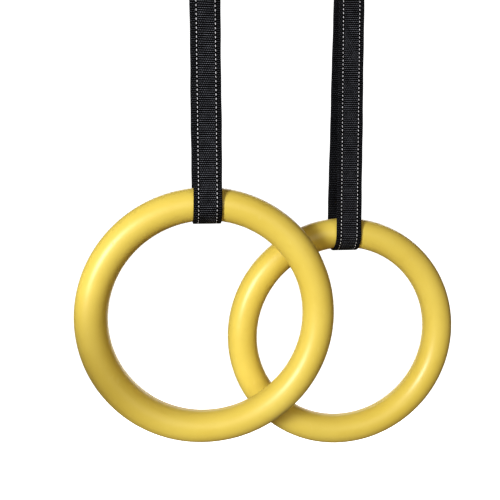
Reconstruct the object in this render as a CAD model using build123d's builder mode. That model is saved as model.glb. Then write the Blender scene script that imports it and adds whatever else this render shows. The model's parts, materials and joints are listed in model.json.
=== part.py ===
"""Pair of gymnastics rings: hollow moulded rings, each hung in a webbing loop with a cam buckle.

Millimetres, +Z up, +X along the bar that carries the loops, +Y towards the back.
The origin is on the bar's axis, in the middle of the left strap.
"""
from build123d import *
from math import asin, atan2, cos, degrees, radians, sin, sqrt
import os

# The rings.
ring_outer_diameter = 240.0
ring_opening = 180.0
tube_radius = (ring_outer_diameter - ring_opening) / 4
ring_radius = ring_opening / 2 + tube_radius
shell_wall = 3.5
rib_count = 12
rib_thickness = 2.0
lip_depth = 2.2
lip_thickness = 1.4
lip_gap = 0.08

# The webbing.
strap_width = 25.4
strap_thickness = 1.8
bar_radius = 4.0
ring_seat_gap = 0.35
half_strap = strap_width / 2
tube_sag = ring_radius - sqrt(ring_radius**2 - half_strap**2)
bar_turn = bar_radius + strap_thickness / 2
ring_turn = tube_radius + tube_sag + ring_seat_gap + strap_thickness / 2

# Distances down each run from where it leaves the bar.
upper_end = 92.0
middle_end = 208.0

# Where each strap hangs, and how far its ring's tube is below the bar.
sides = {
    "left": (0.0, 0.0, 305.0),
    "right": (143.5, 47.5, 338.0),
}

# The cam buckle, in the back run. Heights are outward from the webbing's middle.
channel_width = 30.0
sheet_thickness = 2.0
frame_start = 33.0
frame_end = 84.0
floor_start = 46.0
floor_gap = 0.15
crossbar_at = (38.0, -3.6)
axle_at = (56.0, 9.5)
pin_radius = 2.45
pin_hole_radius = 2.5
head_radius = 3.8
head_thickness = 1.2
hub_radius = 6.0
hub_start = -13.4
hub_end = 7.4
tooth_count = 6
tooth_low = 7.3
tooth_tip = 8.3
tooth_growth = 0.12
lever_length = 31.0
lever_rise = 22.0
lever_thickness = 2.6
lever_width = 25.0
thumb_rib_count = 4
spring_wire = 0.5
spring_radius = 3.6
spring_pitch = 1.35
spring_turns = 4

# The sewn end and the tail.
sewn_start = 6.0
sewn_end = 29.0
tail_bend_radius = 15.0
tail_turn_start = 12.0
tail_drop = 66.0
layer_gap = 0.1
hem_length = 14.0
thread_radius = 0.35
thread_inset = 4.0

webbing_color = (0.06, 0.06, 0.07)
thread_color = (0.05, 0.05, 0.05)
steel_color = (0.62, 0.63, 0.65)
ring_color = (0.86, 0.7, 0.2)


def lean(drop):
    """How far a run leans from the vertical, in degrees: the loop is wider at the ring."""
    return degrees(asin((ring_turn - bar_turn) / drop))


def run_length(drop):
    return drop * cos(radians(lean(drop)))


def middle_plane(x, y):
    """Sketch x is towards the back and sketch y is up, in the middle of the strap's width."""
    return Plane(origin=(x, y, 0), x_dir=(0, 1, 0), z_dir=(1, 0, 0))


def run_plane(x, y, drop, back):
    """Sketch x is down the run, and sketch y is outward from it, or inward with a minus sign."""
    a = radians(lean(drop))
    way = 1 if back else -1
    start = (x, y + way * bar_turn * cos(a), bar_turn * sin(a))
    return Plane(origin=start, x_dir=(0, way * sin(a), -cos(a)), z_dir=(way, 0, 0))


def finish(part, name, color):
    part.label = name
    part.color = Color(*color)
    export_step(part, f"parts/{name}.step")


def make_turn(name, plane, centre_height, radius, start, sweep):
    """Webbing that goes round the bar or round the ring's tube."""
    with BuildPart() as turn:
        with BuildSketch(plane):
            with BuildLine():
                CenterArc((0, centre_height), radius, start, sweep)
            trace(line_width=strap_thickness)
        extrude(amount=half_strap, both=True)
    finish(turn.part, name, webbing_color)


def make_run(name, plane, start, end):
    """A straight stretch of webbing."""
    with BuildPart() as run:
        with BuildSketch(plane):
            with BuildLine():
                Line((start, 0), (end, 0))
            trace(line_width=strap_thickness)
        extrude(amount=half_strap, both=True)
    finish(run.part, name, webbing_color)


def make_sewn_leg(name, plane):
    """From the bar down to the buckle's crossbar, round it and back up to be sewn to itself."""
    crossbar_down, crossbar_out = crossbar_at
    folded = -(strap_thickness + layer_gap)
    with BuildPart() as leg:
        with BuildSketch(plane):
            with BuildLine():
                main = Line((0, 0), (crossbar_down, 0))
                turn = CenterArc((crossbar_down, crossbar_out), -crossbar_out, 90, -180)
                FilletPolyline(
                    turn @ 1,
                    (sewn_end + 4, 2 * crossbar_out),
                    (sewn_end - 1, folded),
                    (sewn_start, folded),
                    radius=3,
                )
            trace(line_width=strap_thickness)
        extrude(amount=half_strap, both=True)
    finish(leg.part, name, webbing_color)


def make_tail(name, plane):
    """The free end: through the cam, up over the sewn leg, then over and down, with a hem."""
    outside = strap_thickness + layer_gap + 0.5
    hang = outside + 2 * tail_bend_radius
    bottom = tail_turn_start + tail_drop
    with BuildPart() as tail:
        with BuildSketch(plane):
            with BuildLine():
                up = FilletPolyline(
                    (upper_end, 0),
                    (axle_at[0] - 6, 0),
                    (crossbar_at[0] + 3, outside),
                    (tail_turn_start, outside),
                    radius=6,
                )
                turn = CenterArc(
                    (tail_turn_start, outside + tail_bend_radius), tail_bend_radius, -90, -180
                )
                Line(turn @ 1, (bottom, hang))
            trace(line_width=strap_thickness)
            with BuildLine():
                Line(
                    (bottom - hem_length, hang - strap_thickness),
                    (bottom, hang - strap_thickness),
                )
            trace(line_width=strap_thickness)
        extrude(amount=half_strap, both=True)
    finish(tail.part, name, webbing_color)


def make_box_stitch(name, x, y, drop):
    """Threads of the box-and-cross seam, lying on the inner face of the sewn leg."""
    a = radians(lean(drop))
    inner_face = -(strap_thickness * 1.5 + layer_gap) - thread_radius
    start = (
        x,
        y + (bar_turn + inner_face) * cos(a),
        (bar_turn + inner_face) * sin(a),
    )
    face = Plane(origin=start, x_dir=(1, 0, 0), z_dir=(0, -cos(a), -sin(a)))
    width = strap_width - 2 * thread_inset
    height = sewn_end - sewn_start - 7
    slope = degrees(atan2(height, width))
    diagonal = sqrt(width**2 + height**2) - 2 * thread_radius
    line = 2 * thread_radius
    with BuildPart() as stitch:
        with BuildSketch(face.offset(-thread_radius)):
            with Locations((0, -(sewn_start + 3 + height / 2))):
                Rectangle(width, height)
                Rectangle(width - 2 * line, height - 2 * line, mode=Mode.SUBTRACT)
                Rectangle(diagonal, line, rotation=slope)
                Rectangle(diagonal, line, rotation=-slope)
        extrude(amount=line)
    finish(stitch.part, name, thread_color)


def make_buckle_frame(name, plane):
    """A folded channel: a floor under the webbing and two ears that hold the pins."""
    floor_top = -(strap_thickness / 2 + floor_gap)
    floor_bottom = floor_top - sheet_thickness
    ear = [
        (frame_start, crossbar_at[1] - 4.4),
        (frame_start, crossbar_at[1] + 5.5),
        (axle_at[0] - 7, axle_at[1] + 5),
        (axle_at[0] + 5, axle_at[1] + 5),
        (frame_end, 3.0),
        (frame_end, floor_bottom),
        (floor_start, floor_bottom),
        (crossbar_at[0] + 5, crossbar_at[1] - 4.4),
    ]
    outer = channel_width / 2 + sheet_thickness
    with BuildPart() as frame:
        with BuildSketch(plane.offset(-outer)):
            with BuildLine():
                FilletPolyline(*ear, radius=1.6, close=True)
            make_face()
        extrude(amount=2 * outer)
        with BuildSketch(plane.offset(-channel_width / 2)):
            with Locations((frame_start - 5, floor_top)):
                Rectangle(80, 40, align=(Align.MIN, Align.MIN))
            with Locations((frame_start - 5, floor_bottom - 20)):
                Rectangle(floor_start - frame_start + 5, 60, align=(Align.MIN, Align.MIN))
        extrude(amount=channel_width, mode=Mode.SUBTRACT)
        with BuildSketch(plane.offset(-outer)):
            with Locations(crossbar_at, axle_at):
                Circle(pin_hole_radius)
        extrude(amount=2 * outer, mode=Mode.SUBTRACT)
    finish(frame.part, name, steel_color)


def make_pin(name, plane, at):
    """A pin through both ears, with a riveted head outside each."""
    reach = channel_width / 2 + sheet_thickness + 0.05
    with BuildPart() as pin:
        with BuildSketch(plane.offset(-reach)):
            with Locations(at):
                Circle(pin_radius)
        extrude(amount=2 * reach)
        with BuildSketch(plane.offset(reach), plane.offset(-reach - head_thickness)):
            with Locations(at):
                Circle(head_radius)
        extrude(amount=head_thickness)
    finish(pin.part, name, steel_color)


def tooth_outline():
    """Teeth that stand further out towards the tail side, so that a pull bites harder."""
    points = []
    step = 13.0
    for i in range(tooth_count):
        angle = radians(-74 - i * step)
        valley = radians(-74 - (i + 0.8) * step)
        tip = tooth_tip + tooth_growth * i
        low = tooth_low + tooth_growth * i
        points.append((axle_at[0] + tip * cos(angle), axle_at[1] + tip * sin(angle)))
        points.append((axle_at[0] + low * cos(valley), axle_at[1] + low * sin(valley)))
    return points


def make_cam_lever(name, plane):
    """Hub on the axle, a toothed cam below it, and a thumb plate that points to the ring."""
    a = radians(lever_rise)
    along = (cos(a), sin(a))
    across = (-sin(a), cos(a))
    top = hub_radius - lever_thickness / 2
    root = (axle_at[0] + top * across[0], axle_at[1] + top * across[1])
    tip = (root[0] + lever_length * along[0], root[1] + lever_length * along[1])
    with BuildPart() as lever:
        with BuildSketch(plane.offset(hub_start)):
            with Locations(axle_at):
                Circle(hub_radius)
            with BuildLine():
                Polyline(axle_at, *tooth_outline(), close=True)
            make_face()
        extrude(amount=hub_end - hub_start)
        with BuildSketch(plane.offset(-lever_width / 2)):
            with BuildLine():
                Line(root, tip)
            trace(line_width=lever_thickness)
        extrude(amount=lever_width)
        with BuildSketch(plane.offset(-lever_width / 2 + 2)):
            for i in range(thumb_rib_count):
                away = lever_length - 3 - 4 * i
                with Locations(
                    (
                        root[0] + away * along[0] + 1.2 * across[0],
                        root[1] + away * along[1] + 1.2 * across[1],
                    )
                ):
                    Circle(1.0)
        extrude(amount=lever_width - 4)
        with BuildSketch(plane.offset(-lever_width)):
            with Locations(axle_at):
                Circle(pin_hole_radius)
        extrude(amount=2 * lever_width, mode=Mode.SUBTRACT)
        with BuildSketch(plane.offset(hub_end + 0.01)):
            with Locations(axle_at):
                Circle(spring_radius + 2 * spring_wire)
        extrude(amount=lever_width / 2 - hub_end, mode=Mode.SUBTRACT)
    finish(lever.part, name, steel_color)


def make_spring(name, plane):
    """Torsion spring round the axle, between the cam's hub and one ear."""
    height = spring_turns * spring_pitch
    start = hub_end + spring_wire + 0.3
    centre = plane.from_local_coords((*axle_at, start))
    with BuildPart() as spring:
        with BuildLine():
            coil = Helix(spring_pitch, height, spring_radius, center=centre, direction=plane.z_dir)
        with BuildSketch(Plane(coil @ 0, z_dir=coil % 0)):
            Circle(spring_wire)
        sweep(is_frenet=True)
    finish(spring.part, name, steel_color)


def lip_profile(grow):
    """The two tongues of the weld joint, on the inner and the outer side of the tube."""
    middle = tube_radius - shell_wall + lip_thickness / 2 + 0.5
    for way in (-1, 1):
        with Locations((ring_radius + way * middle, 0)):
            Rectangle(lip_thickness + 2 * grow, 2 * (lip_depth + grow))


def make_ring_shell(name, x, y, drop, front):
    """One moulded half of a ring, with ribs inside and a tongue or a groove at the seam."""
    centre = (x, y, -drop - ring_radius)
    turning = Plane(origin=centre, x_dir=(1, 0, 0), z_dir=(0, 0, 1))
    axis = Axis(centre, (0, 1, 0))
    way = -1 if front else 1
    with BuildPart() as shell:
        with BuildSketch(turning):
            with Locations((ring_radius, 0)):
                Circle(tube_radius)
                Circle(tube_radius - shell_wall, mode=Mode.SUBTRACT)
            with Locations((ring_radius, -way * tube_radius)):
                Rectangle(4 * tube_radius, 2 * tube_radius, mode=Mode.SUBTRACT)
        revolve(axis=axis)
        for i in range(rib_count):
            angle = radians(15 + i * 360 / rib_count)
            spoke = Vector(cos(angle), 0, sin(angle))
            across = Plane(origin=centre, x_dir=spoke, z_dir=spoke.cross(Vector(0, 1, 0)))
            with BuildSketch(across.offset(-rib_thickness / 2)):
                with Locations((ring_radius, 0)):
                    Circle(tube_radius - shell_wall / 2)
                    Circle(tube_radius - 2 * shell_wall, mode=Mode.SUBTRACT)
                with Locations((ring_radius, -way * tube_radius)):
                    Rectangle(4 * tube_radius, 2 * tube_radius, mode=Mode.SUBTRACT)
            extrude(amount=rib_thickness)
        with BuildSketch(turning):
            lip_profile(0 if front else lip_gap)
        revolve(axis=axis, mode=Mode.ADD if front else Mode.SUBTRACT)
    finish(shell.part, name, ring_color)


os.makedirs("parts", exist_ok=True)
for side, (x, y, drop) in sides.items():
    tilt = lean(drop)
    end = run_length(drop)
    middle = middle_plane(x, y)
    front = run_plane(x, y, drop, back=False)
    back = run_plane(x, y, drop, back=True)
    make_turn(f"{side}_strap_over_bar", middle, 0, bar_turn, tilt, 180 - 2 * tilt)
    make_turn(f"{side}_strap_under_tube", middle, -drop, ring_turn, tilt, -180 - 2 * tilt)
    make_run(f"{side}_strap_front_upper", front, 0, upper_end)
    make_run(f"{side}_strap_front_middle", front, upper_end, middle_end)
    make_run(f"{side}_strap_front_lower", front, middle_end, end)
    make_run(f"{side}_strap_back_middle", back, upper_end, middle_end)
    make_run(f"{side}_strap_back_lower", back, middle_end, end)
    make_sewn_leg(f"{side}_strap_sewn_leg", back)
    make_tail(f"{side}_strap_tail", back)
    make_box_stitch(f"{side}_box_stitch", x, y, drop)
    make_buckle_frame(f"{side}_buckle_frame", back)
    make_pin(f"{side}_buckle_crossbar", back, crossbar_at)
    make_pin(f"{side}_buckle_axle", back, axle_at)
    make_cam_lever(f"{side}_buckle_cam_lever", back)
    make_spring(f"{side}_buckle_spring", back)
    make_ring_shell(f"{side}_ring_front_shell", x, y, drop, front=True)
    make_ring_shell(f"{side}_ring_back_shell", x, y, drop, front=False)
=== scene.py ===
"""Gymnastics rings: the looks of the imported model. Metres, in the row frame."""
import json
import math

import bpy
import numpy as np
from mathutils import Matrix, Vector


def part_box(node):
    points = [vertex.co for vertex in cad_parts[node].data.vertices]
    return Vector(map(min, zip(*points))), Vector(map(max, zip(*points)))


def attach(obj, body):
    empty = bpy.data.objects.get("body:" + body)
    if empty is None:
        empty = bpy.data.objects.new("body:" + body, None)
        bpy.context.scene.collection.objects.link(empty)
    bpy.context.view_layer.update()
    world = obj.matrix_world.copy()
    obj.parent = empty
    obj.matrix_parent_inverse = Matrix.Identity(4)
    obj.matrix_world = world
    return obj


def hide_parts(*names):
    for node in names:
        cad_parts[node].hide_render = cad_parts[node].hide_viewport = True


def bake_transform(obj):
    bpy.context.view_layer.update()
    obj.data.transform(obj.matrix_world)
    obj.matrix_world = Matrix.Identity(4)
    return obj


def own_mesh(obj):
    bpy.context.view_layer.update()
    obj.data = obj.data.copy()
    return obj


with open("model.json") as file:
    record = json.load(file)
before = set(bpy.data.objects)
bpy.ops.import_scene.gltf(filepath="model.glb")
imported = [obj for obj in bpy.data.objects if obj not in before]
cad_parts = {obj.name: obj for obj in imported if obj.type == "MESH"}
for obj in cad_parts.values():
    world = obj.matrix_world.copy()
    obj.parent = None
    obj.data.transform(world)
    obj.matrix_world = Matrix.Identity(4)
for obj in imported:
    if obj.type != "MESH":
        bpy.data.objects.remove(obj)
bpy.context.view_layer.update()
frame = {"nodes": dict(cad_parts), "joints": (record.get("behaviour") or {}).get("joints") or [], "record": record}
joints = {j["name"]: j for j in frame["joints"]}

# Sizes that the frame holds.
ring_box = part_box("left_ring_front_shell")
under_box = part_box("left_strap_under_tube")
over_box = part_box("left_strap_over_bar")
ring_outer = (ring_box[1].x - ring_box[0].x) / 2
ring_radius = joints["left_tilt"]["pos_m"][2] - joints["left_spin"]["pos_m"][2]
tube_radius = ring_outer - ring_radius
strap_width = over_box[1].x - over_box[0].x
bar_radius = frame["record"]["mounts"][0]["dims"]["r_mm"] / 1000
strap_thickness = over_box[1].z - bar_radius
bar_turn = bar_radius + strap_thickness / 2
ring_turn = joints["left_tilt"]["pos_m"][2] - under_box[0].z - strap_thickness / 2
middle_end = -joints["left_twist"]["pos_m"][2]

# Sizes that part.py holds too.
shell_wall = 0.0035
upper_end = 0.092
crossbar_down, crossbar_out = 0.038, -0.0036
axle_down = 0.056
layer = strap_thickness + 0.0001
sewn_start, sewn_end = 0.006, 0.029
spread_start, spread_end, spread_corner = sewn_end - 0.001, sewn_end + 0.004, 0.003
tail_gap = layer + 0.0005
rise_start, rise_end, rise_corner = axle_down - 0.006, crossbar_down + 0.003, 0.006
tail_bend, tail_turn_start, tail_drop = 0.015, 0.012, 0.066
hem_length = 0.014
seam_inset, seam_top, seam_bottom = 0.004, 0.009, 0.025
near_ring_length = 0.03

# Sizes that only the visual model has.
visual_crease, cad_crease = math.radians(50), math.radians(35)
joint_gap = 0.00002
hem_row_inset = 0.0025
thread_radius, stitch_pitch = 0.00032, 0.0029
stitch_share, stitch_askew = 0.43, 0.00012
stitch_sink, stitch_dip = 0.0001, 0.00022

# The weave: dots this far apart across and along, in staggered rows, and two dashed yarns.
dot_across, dot_along = 0.00185, 0.00368
weave_height = 0.00009
selvedge_round, selvedge_clear = 0.0009, 0.0008
selvedge_share, selvedge_loop = 0.2, 0.00007
slow_wander, fast_wander = 0.00012, 0.00009
dash_offset, lane_width = 0.00808, 0.0009
dash_length, dash_width = 0.0020, 0.00074
dash_height, dash_sink, dash_skew = 0.00022, 0.00006, 0.00005
# Added to the texture coordinate across the inner face, so that no dashed lane falls on it.
reverse_mark = 100


# ---------------------------------------------------------------- meshes


def new_object(name, points, faces, material_of_face=None, uv=None):
    mesh = bpy.data.meshes.new(name)
    mesh.from_pydata([tuple(p) for p in points], [], faces)
    if uv is not None:
        layer_uv = mesh.uv_layers.new(name="weave")
        loops = np.empty(len(mesh.loops), np.int32)
        mesh.loops.foreach_get("vertex_index", loops)
        layer_uv.data.foreach_set("uv", np.asarray(uv, np.float32)[loops].ravel())
    if material_of_face is not None:
        mesh.polygons.foreach_set("material_index", np.asarray(material_of_face, np.int32))
    mesh.polygons.foreach_set("use_smooth", [True] * len(mesh.polygons))
    mesh.set_sharp_from_angle(angle=visual_crease)
    mesh.update()
    obj = bpy.data.objects.new(name, mesh)
    bpy.context.scene.collection.objects.link(obj)
    return obj


class Path:
    """A route in the YZ plane of straight runs and arcs. A positive turn is to the left."""

    def __init__(self, point, heading):
        self.point, self.heading = np.array(point, float), heading
        self.length, self.parts = 0.0, []

    def line(self, length):
        self.parts.append((self.length, self.point.copy(), self.heading, length, 0.0))
        direction = np.array([math.cos(self.heading), math.sin(self.heading)])
        self.point = self.point + length * direction
        self.length += length
        return self

    def arc(self, radius, turn):
        length = radius * abs(turn)
        bend = math.copysign(1 / radius, turn)
        self.parts.append((self.length, self.point.copy(), self.heading, length, bend))
        self.point, self.heading = self.at(self.length + length)
        self.length += length
        return self

    def corners(self, points, radius):
        """Straight runs to each point in turn, with an arc of this radius at each corner."""
        for i, target in enumerate(points):
            step = np.array(target, float) - self.point
            if i + 1 < len(points):
                ahead = np.array(points[i + 1], float) - np.array(target, float)
                cross = step[0] * ahead[1] - step[1] * ahead[0]
                turn = math.atan2(cross, step @ ahead)
                trim = radius * math.tan(abs(turn) / 2)
                self.heading = math.atan2(step[1], step[0])
                self.line(np.hypot(*step) - trim)
                self.arc(radius, turn)
            else:
                self.line(np.hypot(*step))
        return self

    def at(self, s):
        before = [p for p in self.parts if p[0] <= s + 1e-12] or self.parts[:1]
        start, point, heading, _, bend = before[-1]
        d = s - start
        if bend == 0.0:
            return point + d * np.array([math.cos(heading), math.sin(heading)]), heading
        r = 1 / bend
        middle = point + r * np.array([-math.sin(heading), math.cos(heading)])
        turned = heading + d * bend
        return middle - r * np.array([-math.sin(turned), math.cos(turned)]), turned


def across_columns():
    """Distances across the webbing, from edge to edge, closer together at the round selvedges."""
    step = dot_across / 4
    half = strap_width / 2
    inner = np.arange(0, half - selvedge_clear, step)
    edge = half - selvedge_round * np.array([1 / 2, 1 / 6, 0])
    right = np.concatenate([inner, edge])
    return np.concatenate([-right[:0:-1], right])


def thickness_at(u):
    """Half the webbing's thickness, which rounds off over the last stretch to the edge."""
    into = np.clip((strap_width / 2 - np.abs(u)) / selvedge_round, 0, 1)
    return strap_thickness / 2 * np.sqrt(1 - (1 - into) ** 2)


def weave_at(u, v, outer_face):
    """How far the woven surface stands above or below its middle height, as a share."""
    row = np.cos(2 * np.pi * v / dot_along)
    dots = np.cos(2 * np.pi * u / dot_across) * row
    lane = np.clip(1.6 - np.abs(np.abs(u) - dash_offset) / lane_width, 0, 1) * outer_face
    return (0.55 * dots + 0.9 * np.abs(row) - 0.45) * (1 - lane) - 0.8 * lane


def selvedge_at(u, v):
    """The edge yarns' small loops, and a slow wander of the width."""
    half = strap_width / 2
    edge = np.clip((np.abs(u) - (1 - selvedge_share) * half) / (selvedge_share * half), 0, 1)
    loops = selvedge_loop * np.cos(2 * np.pi * v / dot_along * 2)
    wander = slow_wander * np.sin(v * 61) + fast_wander * np.sin(v * 173 + np.sign(u))
    return np.sign(u) * edge * (loops + wander)


def ribbon(name, x, path, start, end, phase):
    """Webbing along a path from start to end. phase is how far along the weave its start lies."""
    u = across_columns()
    rows = max(2, round((end - start) / (dot_along / 8)) + 1)
    s = np.linspace(start, end, rows)
    v = s - start + phase
    here = [path.at(d) for d in s]
    point = np.array([h[0] for h in here])
    heading = np.array([h[1] for h in here])
    outward = np.stack([np.sin(heading), -np.cos(heading)], axis=1)
    uu, vv = np.meshgrid(u, v)
    half = thickness_at(uu)
    share = half / (strap_thickness / 2)
    lift = half + weave_height * weave_at(uu, vv, 1) * share
    drop = half + weave_height * weave_at(uu, vv + dot_along / 2, 0) * share
    sideways = x + uu + selvedge_at(uu, vv)

    def place(height):
        yz = point[:, None, :] + height[..., None] * outward[:, None, :]
        return np.stack([sideways, yz[..., 0], yz[..., 1]], axis=-1)

    top, bottom = place(lift), place(-drop)
    n = len(u)
    ring = np.concatenate([top, bottom[:, -2:0:-1]], axis=1)
    ring_uv = np.concatenate(
        [
            np.stack([uu / dot_across, vv / dot_along], axis=-1),
            np.stack([uu / dot_across + reverse_mark, vv / dot_along + 0.5], axis=-1)[:, -2:0:-1],
        ],
        axis=1,
    )
    around = ring.shape[1]
    index = np.arange(rows * around).reshape(rows, around)
    a, b = index[:-1], index[1:]
    sides = np.stack([a, b, np.roll(b, -1, 1), np.roll(a, -1, 1)], axis=-1).reshape(-1, 4)
    faces = sides[:, ::-1].tolist()
    for row, flip in ((0, True), (rows - 1, False)):
        up = index[row, :n]
        down = np.concatenate([[index[row, 0]], index[row, :n - 2:-1]])
        for k in range(n - 1):
            quad = list(dict.fromkeys([int(up[k]), int(up[k + 1]), int(down[k + 1]), int(down[k])]))
            faces.append(quad[::-1] if flip else quad)
    points = [ring.reshape(-1, 3)]
    uvs = [ring_uv.reshape(-1, 2)]
    kinds = [0] * len(faces)
    count = rows * around
    first, last = math.ceil(phase / dot_along), math.ceil((phase + end - start) / dot_along)
    for k in range(first, last):
        for way in (-1, 1):
            p, f = dash(x, path, start + k * dot_along - phase, way * dash_offset)
            points.append(p)
            uvs.append(np.zeros((len(p), 2)) + [way, k])
            faces += [[i + count for i in q] for q in f]
            kinds += [1] * len(f)
            count += len(p)
    obj = new_object(name, np.concatenate(points), faces, kinds, np.concatenate(uvs))
    obj.data.materials.append(webbing_material)
    obj.data.materials.append(dash_material)
    return obj


def dash(x, path, middle, u):
    """One float of the pale yarn: a small lens bedded in the webbing's outer face."""
    along, around = 6, 8
    points = []
    for i in range(along + 1):
        t = -1 + 2 * i / along
        size = math.sqrt(max(0.02, 1 - t**4))
        (y, z), heading = path.at(middle + t * dash_length / 2)
        out_y, out_z = math.sin(heading), -math.cos(heading)
        base = strap_thickness / 2 - dash_sink
        for k in range(around):
            a = 2 * math.pi * k / around
            side = dash_width / 2 * size * math.cos(a) + dash_skew * t
            up = base + dash_height * size * math.sin(a)
            points.append((x + u + side, y + up * out_y, z + up * out_z))
    faces = []
    for i in range(along):
        for k in range(around):
            n = (k + 1) % around
            a, b = i * around, (i + 1) * around
            faces.append([a + k, a + n, b + n, b + k])
    faces.append(list(range(around))[::-1])
    faces.append([along * around + k for k in range(around)])
    return np.array(points), faces


def stitches(name, rows):
    """Seams as separate stitches. A row is its first point, its last and the face's normal."""
    steps, sides = 6, 8
    points, faces = [], []
    for first, last, normal in rows:
        first, last, normal = Vector(first), Vector(last), Vector(normal).normalized()
        count = max(2, round((last - first).length / stitch_pitch))
        along = (last - first).normalized()
        side = along.cross(normal)
        for k in range(count):
            middle = first.lerp(last, (k + 0.5) / count)
            half = (last - first).length / count * stitch_share
            askew = stitch_askew * math.sin(k * 2.4)
            start = len(points)
            for i in range(steps):
                t = -1 + 2 * i / (steps - 1)
                size = math.sqrt(max(0.1, 1 - t**4)) * thread_radius
                for j in range(sides):
                    a = 2 * math.pi * j / sides
                    points.append(
                        middle
                        + along * (t * half)
                        + side * (size * math.cos(a) + askew * t)
                        + normal * (size * math.sin(a) - stitch_sink - stitch_dip * t * t)
                    )
            for i in range(steps - 1):
                a, b = start + i * sides, start + (i + 1) * sides
                for j in range(sides):
                    n = (j + 1) % sides
                    faces.append([a + n, a + j, b + j, b + n])
            end = start + (steps - 1) * sides
            faces.append([start + j for j in range(sides)])
            faces.append([end + j for j in reversed(range(sides))])
    obj = new_object(name, points, faces)
    obj.data.materials.append(thread_material)
    return obj


def ring_half(name, centre, way):
    """One moulded half: the outer skin, the inner skin and the flat weld face, turned round."""
    around, across, inner_across = 288, 40, 16
    weld_depth, weld_width = 0.00022, 0.0007
    slow_wobble, fast_wobble = 0.0009, 0.0006
    profile = []
    for k in range(across + 1):
        a = math.pi * k / across
        near = min(a, math.pi - a) * tube_radius
        r = tube_radius - weld_depth * max(0.0, 1 - near / weld_width) ** 2
        profile.append((r * math.cos(a), r * math.sin(a)))
    inner = tube_radius - shell_wall
    for k in reversed(range(inner_across + 1)):
        a = math.pi * k / inner_across
        profile.append((inner * math.cos(a), inner * math.sin(a)))
    profile = np.array(profile)
    turn = np.arange(around) * 2 * np.pi / around
    wobble = 1 + slow_wobble * np.sin(5 * turn + way) + fast_wobble * np.sin(13 * turn)
    outer = np.arange(len(profile)) <= across
    scale = np.where(outer[None, :], wobble[:, None], 1.0)
    radial = ring_radius + profile[None, :, 0] * scale
    depth = way * profile[None, :, 1] * scale
    points = np.stack(
        [
            centre[0] + radial * np.cos(turn)[:, None],
            centre[1] + depth,
            centre[2] + radial * np.sin(turn)[:, None],
        ],
        axis=-1,
    ).reshape(-1, 3)
    n = len(profile)
    index = np.arange(around * n).reshape(around, n)
    a, b = index, np.roll(index, -1, 0)
    quads = np.stack([a, np.roll(a, -1, 1), np.roll(b, -1, 1), b], axis=-1).reshape(-1, 4)
    faces = (quads if way < 0 else quads[:, ::-1]).tolist()
    obj = new_object(name, points, faces)
    obj.data.materials.append(ring_material)
    return obj


# ---------------------------------------------------------------- materials


class Shader:
    """A Principled material whose patterns are built from nodes."""

    def __init__(self, name, **values):
        self.material = bpy.data.materials.new(name)
        self.material.use_nodes = True
        self.tree = self.material.node_tree
        self.surface = self.tree.nodes["Principled BSDF"]
        for key, value in values.items():
            self.surface.inputs[key.replace("_", " ")].default_value = value
        self.place = self.tree.nodes.new("ShaderNodeTexCoord").outputs["Object"]

    def put(self, socket, value):
        if isinstance(value, bpy.types.NodeSocket):
            self.tree.links.new(value, socket)
        else:
            socket.default_value = value

    def math(self, operation, *values):
        node = self.tree.nodes.new("ShaderNodeMath")
        node.operation = operation
        for socket, value in zip(node.inputs, values):
            self.put(socket, value)
        return node.outputs[0]

    def stretch(self, x, y, z):
        node = self.tree.nodes.new("ShaderNodeMapping")
        self.put(node.inputs["Vector"], self.place)
        node.inputs["Scale"].default_value = (x, y, z)
        return node.outputs[0]

    def noise(self, scale, detail=3.0, vector=None, roughness=0.5):
        node = self.tree.nodes.new("ShaderNodeTexNoise")
        self.put(node.inputs["Vector"], vector or self.place)
        node.inputs["Scale"].default_value = scale
        node.inputs["Detail"].default_value = detail
        node.inputs["Roughness"].default_value = roughness
        return node.outputs["Fac"]

    def between(self, value, low, high, to_low=0.0, to_high=1.0):
        node = self.tree.nodes.new("ShaderNodeMapRange")
        for socket, v in zip(node.inputs, (value, low, high, to_low, to_high)):
            self.put(socket, v)
        return node.outputs[0]

    def mix(self, share, one, other):
        node = self.tree.nodes.new("ShaderNodeMix")
        node.data_type = "RGBA"
        self.put(node.inputs[0], share)
        self.put(node.inputs[6], one)
        self.put(node.inputs[7], other)
        return node.outputs[2]

    def bump(self, height, distance, strength=1.0, after=None):
        node = self.tree.nodes.new("ShaderNodeBump")
        node.inputs["Strength"].default_value = strength
        node.inputs["Distance"].default_value = distance
        self.put(node.inputs["Height"], height)
        if after is not None:
            self.put(node.inputs["Normal"], after)
        return node.outputs[0]

    def set(self, **links):
        for key, value in links.items():
            self.put(self.surface.inputs[key.replace("_", " ")], value)
        return self.material


def srgb(r, g, b):
    """A colour given as it shows on a screen, from 0 to 255, as linear light."""
    def linear(c):
        c /= 255
        return c / 12.92 if c <= 0.04045 else ((c + 0.055) / 1.055) ** 2.4
    return (linear(r), linear(g), linear(b), 1.0)


def make_ring_material():
    """Yellow ABS: a satin moulded skin with fine grain, faint flow marks and light scuffs."""
    s = Shader("ring_abs", IOR=1.5, Specular_IOR_Level=0.5)
    cloud = s.noise(9, 4)
    grain = s.noise(1500, 2)
    flow = s.noise(60, 3, s.stretch(1, 4, 1))
    scratch = s.noise(300, 2, s.stretch(1, 0.05, 0.3))
    scuff = s.between(scratch, 0.66, 0.74)
    base = s.mix(s.between(cloud, 0.3, 0.7), srgb(229, 205, 93), srgb(238, 217, 110))
    base = s.mix(s.between(flow, 0.55, 0.9, 0, 0.25), base, srgb(216, 186, 70))
    base = s.mix(s.math("MULTIPLY", scuff, 0.12), base, srgb(244, 228, 150))
    rough = s.math("ADD", s.between(cloud, 0.3, 0.7, 0.33, 0.42), s.math("MULTIPLY", scuff, 0.12))
    normal = s.bump(grain, 0.00012, 0.35)
    normal = s.bump(flow, 0.0004, 0.12, normal)
    return s.set(Base_Color=base, Roughness=rough, Normal=normal)


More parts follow.
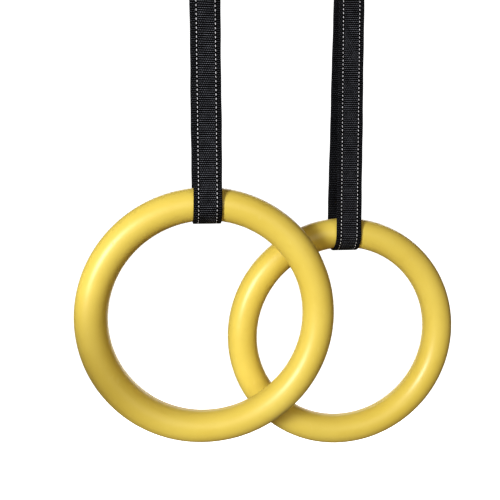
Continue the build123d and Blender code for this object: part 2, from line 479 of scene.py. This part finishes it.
def make_webbing_material():
    """Black polyester webbing: staggered floats with a painted highlight (a pale grey base colour where they would
    catch the light), between gaps painted near-black as shade.
    """
    s = Shader("webbing", IOR=1.46, Specular_IOR_Level=0.08)
    uv = s.tree.nodes.new("ShaderNodeUVMap")
    uv.uv_map = "weave"
    parts = s.tree.nodes.new("ShaderNodeSeparateXYZ")
    s.put(parts.inputs[0], uv.outputs[0])
    turn = 2 * math.pi
    fine = s.noise(2600, 2)
    slow = s.noise(140, 3)
    across = s.math("COSINE", s.math("MULTIPLY", parts.outputs[0], turn))
    along = s.math("COSINE", s.math("MULTIPLY", parts.outputs[1], turn))
    dots = s.math("MULTIPLY", across, along)
    off_middle = s.math("ABSOLUTE", parts.outputs[0])
    offset = s.math("SUBTRACT", off_middle, dash_offset / dot_across)
    lane = s.between(s.math("ABSOLUTE", offset), 0.3, 0.7, 1.0, 0.0)
    # The painted highlight on the floats fades to 0.45 of its strength beyond the dashed lanes, towards the edges,
    # and on the inner face.
    margin = s.between(offset, 0.3, 0.9, 1.0, 0.45)
    row = s.math("ABSOLUTE", along)
    height = s.math("ADD", s.math("MULTIPLY", dots, 0.55), row)
    height = s.math("SUBTRACT", height, s.math("MULTIPLY", lane, 1.5))
    row_mask, dot_mask = s.between(row, 0.9, 0.998), s.between(dots, -0.3, 0.7, 0.25, 1.0)
    float_highlight = s.math("MULTIPLY", row_mask, dot_mask)
    float_highlight = s.math("MULTIPLY", float_highlight, s.between(slow, 0.3, 0.7, 0.45, 1.0))
    float_highlight = s.math("MULTIPLY", float_highlight, s.math("SUBTRACT", 1.0, lane))
    float_highlight = s.math("MULTIPLY", float_highlight, margin)
    # Painted light: the pale grey on the floats is a painted highlight, and the near-black between them is painted
    # shade in the gaps.
    base = s.mix(float_highlight, srgb(2, 2, 4), srgb(162, 167, 180))
    yarn = s.noise(900, 2, s.stretch(6, 1, 1))
    base = s.mix(s.between(fine, 0.35, 0.7, 0, 0.25), base, srgb(8, 8, 10))
    rough = s.between(fine, 0.3, 0.7, 0.55, 0.8)
    normal = s.bump(height, 0.00025, 0.9)
    normal = s.bump(yarn, 0.0001, 0.4, normal)
    return s.set(Base_Color=base, Roughness=rough, Normal=normal)


def make_dash_material():
    """The pale yarn: bright, twisted and a little grubby."""
    s = Shader("pale_yarn", IOR=1.46, Sheen_Weight=0.2)
    dirt = s.noise(220, 3)
    twist = s.noise(3500, 1, s.stretch(1, 1, 3))
    base = s.mix(s.between(dirt, 0.35, 0.75), srgb(240, 244, 252), srgb(188, 191, 198))
    base = s.mix(s.between(twist, 0.5, 0.8, 0, 0.3), base, srgb(120, 120, 118))
    rough = s.between(dirt, 0.3, 0.7, 0.5, 0.7)
    return s.set(Base_Color=base, Roughness=rough, Normal=s.bump(twist, 0.0001, 0.5))


def make_thread_material():
    """Bonded sewing thread, black."""
    s = Shader("sewing_thread", IOR=1.46, Sheen_Weight=0.1)
    twist = s.noise(4200, 1, s.stretch(1, 1, 2))
    base = s.mix(s.between(twist, 0.4, 0.7), srgb(48, 48, 52), srgb(120, 120, 124))
    rough = s.between(twist, 0.3, 0.7, 0.35, 0.5)
    return s.set(Base_Color=base, Roughness=rough, Normal=s.bump(twist, 0.0001, 0.5))


steel_edge_radius = 0.0004


def make_steel_material(name, bright, dark, rough_low, rough_high, grain):
    """Zinc-plated steel: faint rolling grain, cloudy plating, and small dull patches."""
    s = Shader(name, Metallic=0.92)
    cloud = s.noise(90, 4)
    lines = s.noise(700, 2, s.stretch(grain, 1, 1))
    spots = s.between(s.noise(420, 3), 0.62, 0.75)
    base = s.mix(s.between(cloud, 0.3, 0.7), bright, dark)
    base = s.mix(s.math("MULTIPLY", spots, 0.3), base, srgb(120, 116, 108))
    rough = s.between(cloud, 0.3, 0.7, rough_low, rough_high)
    rough = s.math("ADD", rough, s.math("MULTIPLY", spots, 0.15))
    edge = s.tree.nodes.new("ShaderNodeBevel")
    edge.inputs["Radius"].default_value = steel_edge_radius
    normal = s.bump(lines, 0.00008, 0.35, edge.outputs[0])
    return s.set(Base_Color=base, Roughness=rough, Normal=s.bump(cloud, 0.0003, 0.1, normal))


ring_material = make_ring_material()
webbing_material = make_webbing_material()
dash_material = make_dash_material()
thread_material = make_thread_material()
plate_material = make_steel_material(
    "plated_sheet", srgb(176, 177, 180), srgb(140, 141, 146), 0.62, 0.76, 0.12
)
pin_material = make_steel_material(
    "plated_pin", srgb(160, 160, 162), srgb(128, 128, 132), 0.62, 0.74, 4
)
wire_material = make_steel_material(
    "spring_wire", srgb(120, 118, 116), srgb(88, 86, 86), 0.3, 0.45, 2
)


# ---------------------------------------------------------------- webbing


def run_point(side, down, out):
    """A point of the back run, from how far down it is and how far outward, as y and z."""
    return (
        side["y"] + (bar_turn + out) * side["cos"] + down * side["sin"],
        (bar_turn + out) * side["sin"] - down * side["cos"],
    )


def make_webbing(name, side):
    """The strap, from the sewn end over the bar, round the ring's tube and to the hem."""
    x, lean, run = side["x"], side["lean"], side["run"]
    down = math.radians(-90) + lean
    up = math.radians(90) + lean
    half_turn = math.pi

    sewn = Path(run_point(side, sewn_start, -layer), down)
    sewn.corners(
        [
            run_point(side, spread_start, -layer),
            run_point(side, spread_end, 2 * crossbar_out),
            run_point(side, crossbar_down, 2 * crossbar_out),
        ],
        spread_corner,
    )
    sewn.heading = down
    sewn.arc(-crossbar_out, half_turn).line(crossbar_down)
    sewn.arc(bar_turn, half_turn - 2 * lean).line(upper_end)
    bar_piece = ribbon(f"{name}_webbing_bar_turn", x, sewn, 0, sewn.length, 0)
    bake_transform(bar_piece)
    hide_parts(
        f"{name}_strap_over_bar",
        f"{name}_strap_front_upper",
        f"{name}_strap_sewn_leg",
    )

    # From here on, distances are along the loop below the hanger.
    phase = sewn.length
    front_top = (
        side["y"] - (bar_turn * side["cos"] + upper_end * side["sin"]),
        bar_turn * side["sin"] - upper_end * side["cos"],
    )
    loop = Path(front_top, -math.pi / 2 - lean)
    loop.line(run - upper_end)
    loop.arc(ring_turn, half_turn + 2 * lean)
    loop.line(run - upper_end)
    middle = middle_end - upper_end
    near_ring = run - upper_end - near_ring_length
    total = loop.length
    cuts = [joint_gap, middle, near_ring, total - near_ring, total - middle, total - joint_gap]
    names = ["front_middle", "front_lower", "sling", "back_lower", "back_middle"]
    made = {}
    for k, part in enumerate(names):
        start, end = cuts[k], cuts[k + 1]
        made[part] = ribbon(f"{name}_webbing_{part}", x, loop, start, end, phase + start)
    # The middle runs hang from their own body, each with a mesh of its own.
    for part in ("front_middle", "back_middle"):
        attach(made[part], f"{name}_middle_runs")
        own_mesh(made[part])
        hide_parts(f"{name}_strap_{part}")
    for part in ("front_lower", "back_lower"):
        piece = made[part]
        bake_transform(piece)
        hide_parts(f"{name}_strap_{part}")
    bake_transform(made["sling"])
    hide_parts(f"{name}_strap_under_tube")

    tail = Path(run_point(side, upper_end, 0), up)
    tail.corners(
        [
            run_point(side, rise_start, 0),
            run_point(side, rise_end, tail_gap),
            run_point(side, tail_turn_start, tail_gap),
        ],
        rise_corner,
    )
    tail.heading = up
    tail.arc(tail_bend, -half_turn)
    tail.line(tail_drop)
    hem_fold = tail.length
    tail.arc(strap_thickness / 2, half_turn)
    tail.line(hem_length)
    tail_piece = ribbon(f"{name}_webbing_tail", x, tail, 0, tail.length, phase + total)
    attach(tail_piece, f"{name}_hanger")
    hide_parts(f"{name}_strap_tail")

    # The box-and-cross seam, on both faces of the sewn legs, and the two rows across the hem.
    across = strap_width / 2 - seam_inset
    rows = []
    for out, way in ((-layer - strap_thickness / 2, -1), (strap_thickness / 2, 1)):
        normal = (0, way * side["cos"], way * side["sin"])
        nw, ne, sw, se = (
            (x + u, *run_point(side, d, out))
            for d in (seam_top, seam_bottom)
            for u in (-across, across)
        )
        lines = ((nw, ne), (ne, se), (se, sw), (sw, nw), (nw, se), (ne, sw))
        rows += [(a, b, normal) for a, b in lines]
    seam = stitches(f"{name}_box_seam", rows)
    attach(seam, f"{name}_hanger")
    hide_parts(f"{name}_box_stitch")
    rows = []
    for back_off in (hem_row_inset, hem_length - hem_row_inset):
        (y, z), heading = tail.at(hem_fold - back_off)
        normal = np.array([math.sin(heading), -math.cos(heading)])
        for out, way in ((strap_thickness / 2, 1), (-1.5 * strap_thickness, -1)):
            at = np.array([y, z]) + out * normal
            rows.append(((x - across, *at), (x + across, *at), (0, *(way * normal))))
    hem = stitches(f"{name}_hem_seam", rows)
    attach(hem, f"{name}_hanger")


def make_rings(name):
    centre = joints[f"{name}_spin"]["pos_m"]
    for part, way in (("front", -1), ("back", 1)):
        half = ring_half(f"{name}_ring_{part}", centre, way)
        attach(half, f"{name}_ring")
        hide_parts(f"{name}_ring_{part}_shell")


def finish_cad(name):
    """The CAD pieces that stay: smooth where they are round, with their materials."""
    looks = {
        "buckle_frame": plate_material,
        "buckle_crossbar": pin_material,
        "buckle_axle": pin_material,
        "buckle_cam_lever": plate_material,
        "buckle_spring": wire_material,
    }
    for part, material in looks.items():
        mesh = frame["nodes"][f"{name}_{part}"].data
        mesh.materials.clear()
        mesh.materials.append(material)
        mesh.polygons.foreach_set("use_smooth", [True] * len(mesh.polygons))
        mesh.set_sharp_from_angle(angle=cad_crease)


for name in ("left", "right"):
    x, y, _ = joints[f"{name}_swing"]["pos_m"]
    tube_z = joints[f"{name}_tilt"]["pos_m"][2]
    lean = math.asin((ring_turn - bar_turn) / -tube_z)
    side = {
        "x": x,
        "y": y,
        "tube_z": tube_z,
        "lean": lean,
        "cos": math.cos(lean),
        "sin": math.sin(lean),
        "run": -tube_z * math.cos(lean),
    }
    make_webbing(name, side)
    make_rings(name)
    finish_cad(name)


# ---------------------------------------------------------------- camera, light and floor


front_centre = Vector(joints["left_spin"]["pos_m"])
camera_offset = Vector((-0.0372, -0.5298, 0.1335))
camera_down, camera_right = math.radians(7.58), math.radians(8.24)
camera_data = bpy.data.cameras.new("camera")
camera_data.lens = 42.2
camera_data.sensor_width = 36
camera_data.clip_start = 0.01
camera = bpy.data.objects.new("camera", camera_data)
camera.location = front_centre + camera_offset
camera.rotation_euler = (math.pi / 2 - camera_down, 0, -camera_right)
bpy.context.scene.collection.objects.link(camera)
bpy.context.scene.camera = camera


def area_light(name, place, target, size, power):
    """A square card of light at place, turned to face target."""
    data = bpy.data.lights.new(name, "AREA")
    data.size = size
    data.energy = power
    light = bpy.data.objects.new(name, data)
    light.location = place
    light.rotation_euler = (Vector(target) - Vector(place)).to_track_quat("-Z", "Y").to_euler()
    bpy.context.scene.collection.objects.link(light)


middle = front_centre + Vector((0.07, 0, 0))
straps = middle + Vector((0, 0, 0.15))
area_light("key", middle + Vector((-1.15, -1.4, 0.4)), middle, size=0.46, power=28.2)
area_light("front", middle + Vector((0.1, -1.7, 0.5)), middle, size=1.2, power=6)
area_light("back", middle + Vector((0.45, 1.9, 0.3)), straps, size=2.2, power=28)

# A small flag, out of view, that takes part of the key light off the left ring's lower left.
flag_at = front_centre + Vector((-0.281, -0.23, 0.01))
flag_half_side, flag_half_height = Vector((0.02808, -0.02232, 0)), Vector((0, 0, 0.0468))
flag = new_object(
    "flag",
    [
        flag_at + across * flag_half_side + up * flag_half_height
        for across, up in ((-1, -1), (1, -1), (1, 1), (-1, 1))
    ],
    [[0, 1, 2, 3]],
)
flag_cloth = Shader("flag_cloth", Roughness=0.95)
flag.data.materials.append(flag_cloth.set(Base_Color=(0.02, 0.02, 0.02, 1)))
flag.visible_camera = False
flag.visible_glossy = False
flag.visible_diffuse = False

# White to the camera, warm and dim to what it lights, and close to neutral in reflections.
white = (1, 1, 1, 1)
lit_by, reflected = (0.10, 0.055, 0.016, 1), (0.15, 0.147, 0.138, 1)
world = bpy.data.worlds.new("world")
world.use_nodes = True
bpy.context.scene.world = world
nodes, links = world.node_tree.nodes, world.node_tree.links
background = nodes["Background"]
ray = nodes.new("ShaderNodeLightPath")
soft = nodes.new("ShaderNodeMix")
soft.data_type = "RGBA"
soft.inputs[6].default_value = reflected
soft.inputs[7].default_value = lit_by
links.new(ray.outputs["Is Diffuse Ray"], soft.inputs[0])
seen = nodes.new("ShaderNodeMix")
seen.data_type = "RGBA"
seen.inputs[7].default_value = white
links.new(ray.outputs["Is Camera Ray"], seen.inputs[0])
links.new(soft.outputs[2], seen.inputs[6])
links.new(seen.outputs[2], background.inputs["Color"])

floor_half, floor_z = 6, -1.3
floor = new_object(
    "floor",
    [
        (x * floor_half, y * floor_half, floor_z)
        for x, y in ((-1, -1), (1, -1), (1, 1), (-1, 1))
    ],
    [[0, 1, 2, 3]],
)
floor_shader = Shader("pale_floor", Roughness=0.9, Emission_Strength=1.0)
floor_shader.surface.inputs["Emission Color"].default_value = white
floor_shader.surface.inputs["Base Color"].default_value = (0.8, 0.8, 0.8, 1)
floor.data.materials.append(floor_shader.material)
floor.visible_diffuse = False
floor.visible_glossy = False

view = bpy.context.scene.view_settings
view.view_transform = "Standard"
view.look = "Medium High Contrast"

bpy.context.view_layer.update()
